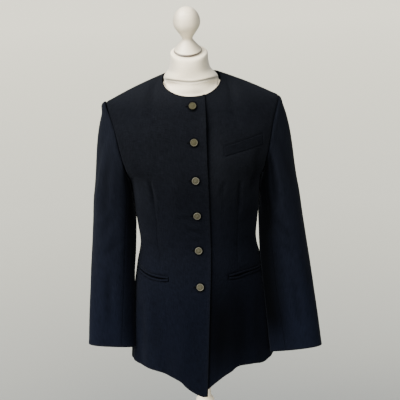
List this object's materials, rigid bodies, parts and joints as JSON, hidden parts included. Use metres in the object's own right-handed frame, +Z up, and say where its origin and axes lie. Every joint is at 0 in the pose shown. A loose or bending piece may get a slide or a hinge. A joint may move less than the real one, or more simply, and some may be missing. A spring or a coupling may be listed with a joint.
{
  "type": "wool coat on a limbless dress form",
  "caption": "Collarless long-line wool coat with a buttoned front, two-piece sleeves and a pointed hem, worn by a limbless dress form with a finial and a turned stand.",
  "frame": {"origin": "on the floor under the middle of the stand's base and column", "axes": "+Z up, -Y towards the coat's front, +X towards the wearer's left"},
  "size_m": [0.5855, 0.37, 1.539],
  "materials": {
    "wool": "near-black navy wool twill, soft nap",
    "antiqued_brass": "antiqued, satin",
    "form_jersey": "off-white stretch jersey cover",
    "white_paint": "turned wood, white satin paint"
  },
  "bodies": {
    "root": {"front_right": "wool", "front_left": "wool", "back_right": "wool", "back_left": "wool", "sleeve_top_right": "wool", "sleeve_top_left": "wool", "sleeve_under_right": "wool", "sleeve_under_left": "wool", "hip_pocket_upper_right": "wool", "hip_pocket_upper_left": "wool", "hip_pocket_lower_right": "wool", "hip_pocket_lower_left": "wool", "breast_welt": "wool", "button_1": "antiqued_brass", "button_2": "antiqued_brass", "button_3": "antiqued_brass", "button_4": "antiqued_brass", "button_5": "antiqued_brass", "button_6": "antiqued_brass", "form_torso": "form_jersey", "finial": "white_paint", "stand_column": "white_paint", "stand_base": "white_paint"}
  },
  "joints": []
}
